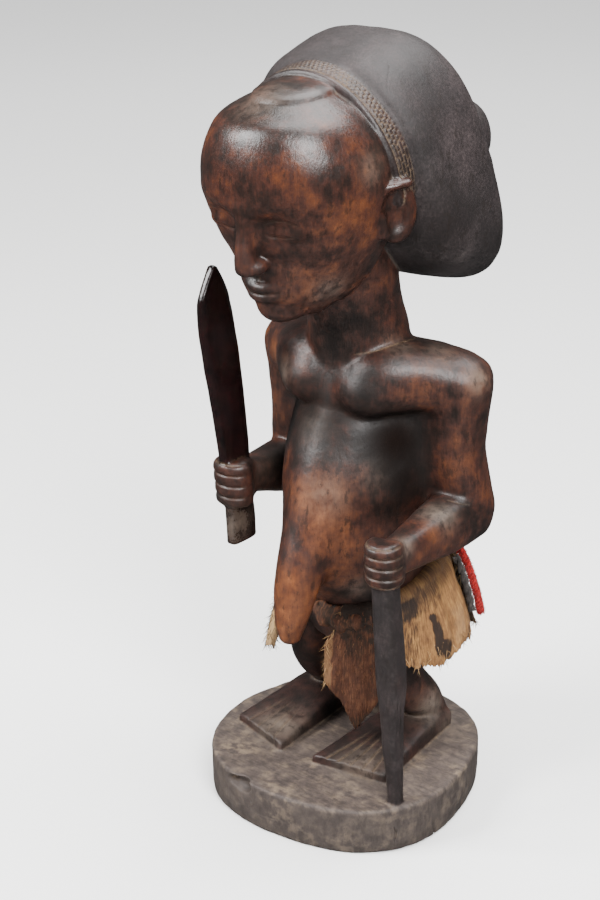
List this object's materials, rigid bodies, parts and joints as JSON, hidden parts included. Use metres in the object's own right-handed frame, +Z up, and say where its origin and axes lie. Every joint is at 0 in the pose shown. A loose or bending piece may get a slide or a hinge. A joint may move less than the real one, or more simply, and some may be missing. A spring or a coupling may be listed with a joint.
{
  "type": "ancestor figure",
  "caption": "Carved wooden ancestor figure standing on a round plinth, with a staff, an upright knife, a disc-shaped coiffure and a short skirt of hides.",
  "frame": {"origin": "on the plinth's underside, straight below the middle of the figure", "axes": "+Z up, the figure faces -Y, its own left side is +X"},
  "size_m": [0.1911, 0.2176, 0.5287],
  "materials": {
    "dark_wood": "satin, oiled and handled dark patina",
    "twisted_cord": "matte twisted plant fibre",
    "brown_fur_hide": "matte hide with the hair left on",
    "tan_hide": "matte worn hide, ragged and torn",
    "dark_hide": "matte dried hide",
    "grey_cloth": "matte twisted cloth",
    "red_wool": "matte woolly cloth edging"
  },
  "bodies": {
    "root": {"figure": "dark_wood", "waist_cord": "twisted_cord", "front_apron": "brown_fur_hide", "left_hide_panel": "tan_hide", "back_hide_panel": "dark_hide", "right_hide_panel": "dark_hide", "dark_strip": "grey_cloth", "red_trim": "red_wool"}
  },
  "joints": []
}
